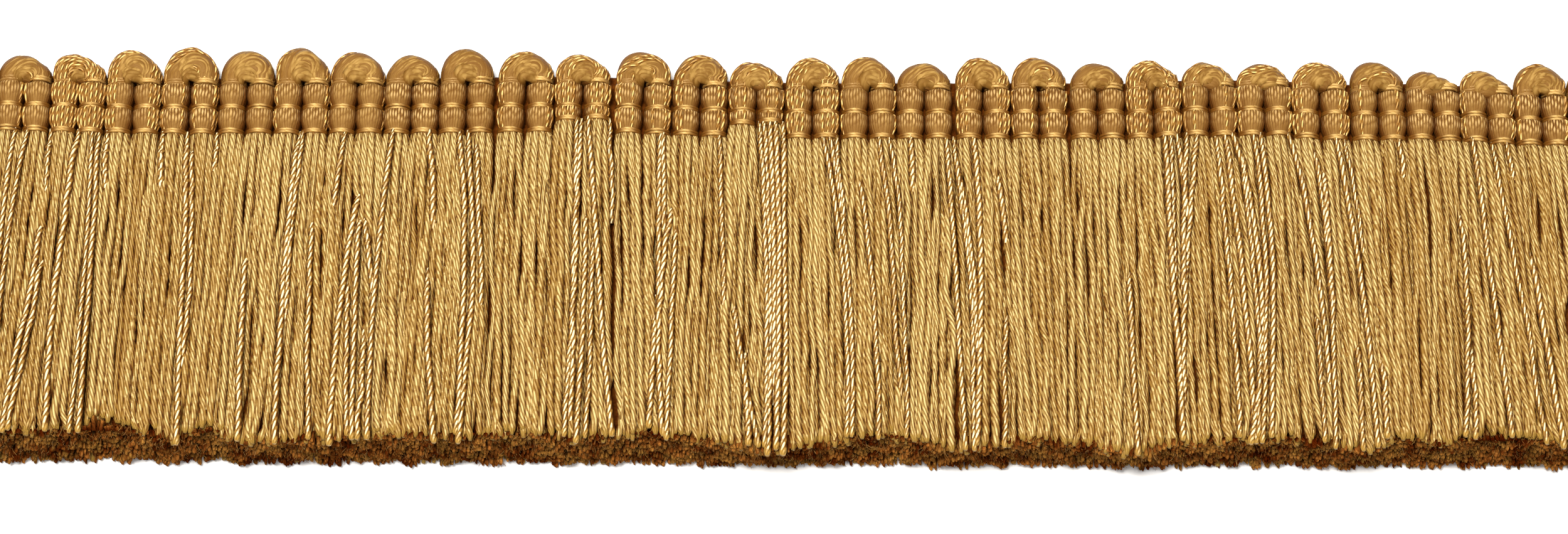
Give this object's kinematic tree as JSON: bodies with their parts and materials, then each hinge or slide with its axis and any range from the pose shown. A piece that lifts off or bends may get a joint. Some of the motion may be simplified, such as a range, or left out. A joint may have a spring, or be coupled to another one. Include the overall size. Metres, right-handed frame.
{
  "type": "brush fringe",
  "caption": "Cut length of brush fringe: a heading of looped yarn bundles drawn in by binding threads, over a thick cut skirt.",
  "frame": {"origin": "under the middle of the fringe's box, on the surface it lies on", "axes": "+X along the fringe, +Y from the cut ends to the loops, +Z out of the face"},
  "size_m": [0.174, 0.0478, 0.0068],
  "materials": {
    "heading_yarn": "matte brown-gold yarn with a few lustrous strands",
    "skirt_yarn": "matte golden two-ply yarn, dark brown at the cut ends",
    "bright_yarn": "lustrous light gold two-ply yarn",
    "binding_thread": "lustrous fine gold thread"
  },
  "bodies": {
    "root": {"heading": "heading_yarn", "skirt": "skirt_yarn"}
  },
  "joints": []
}
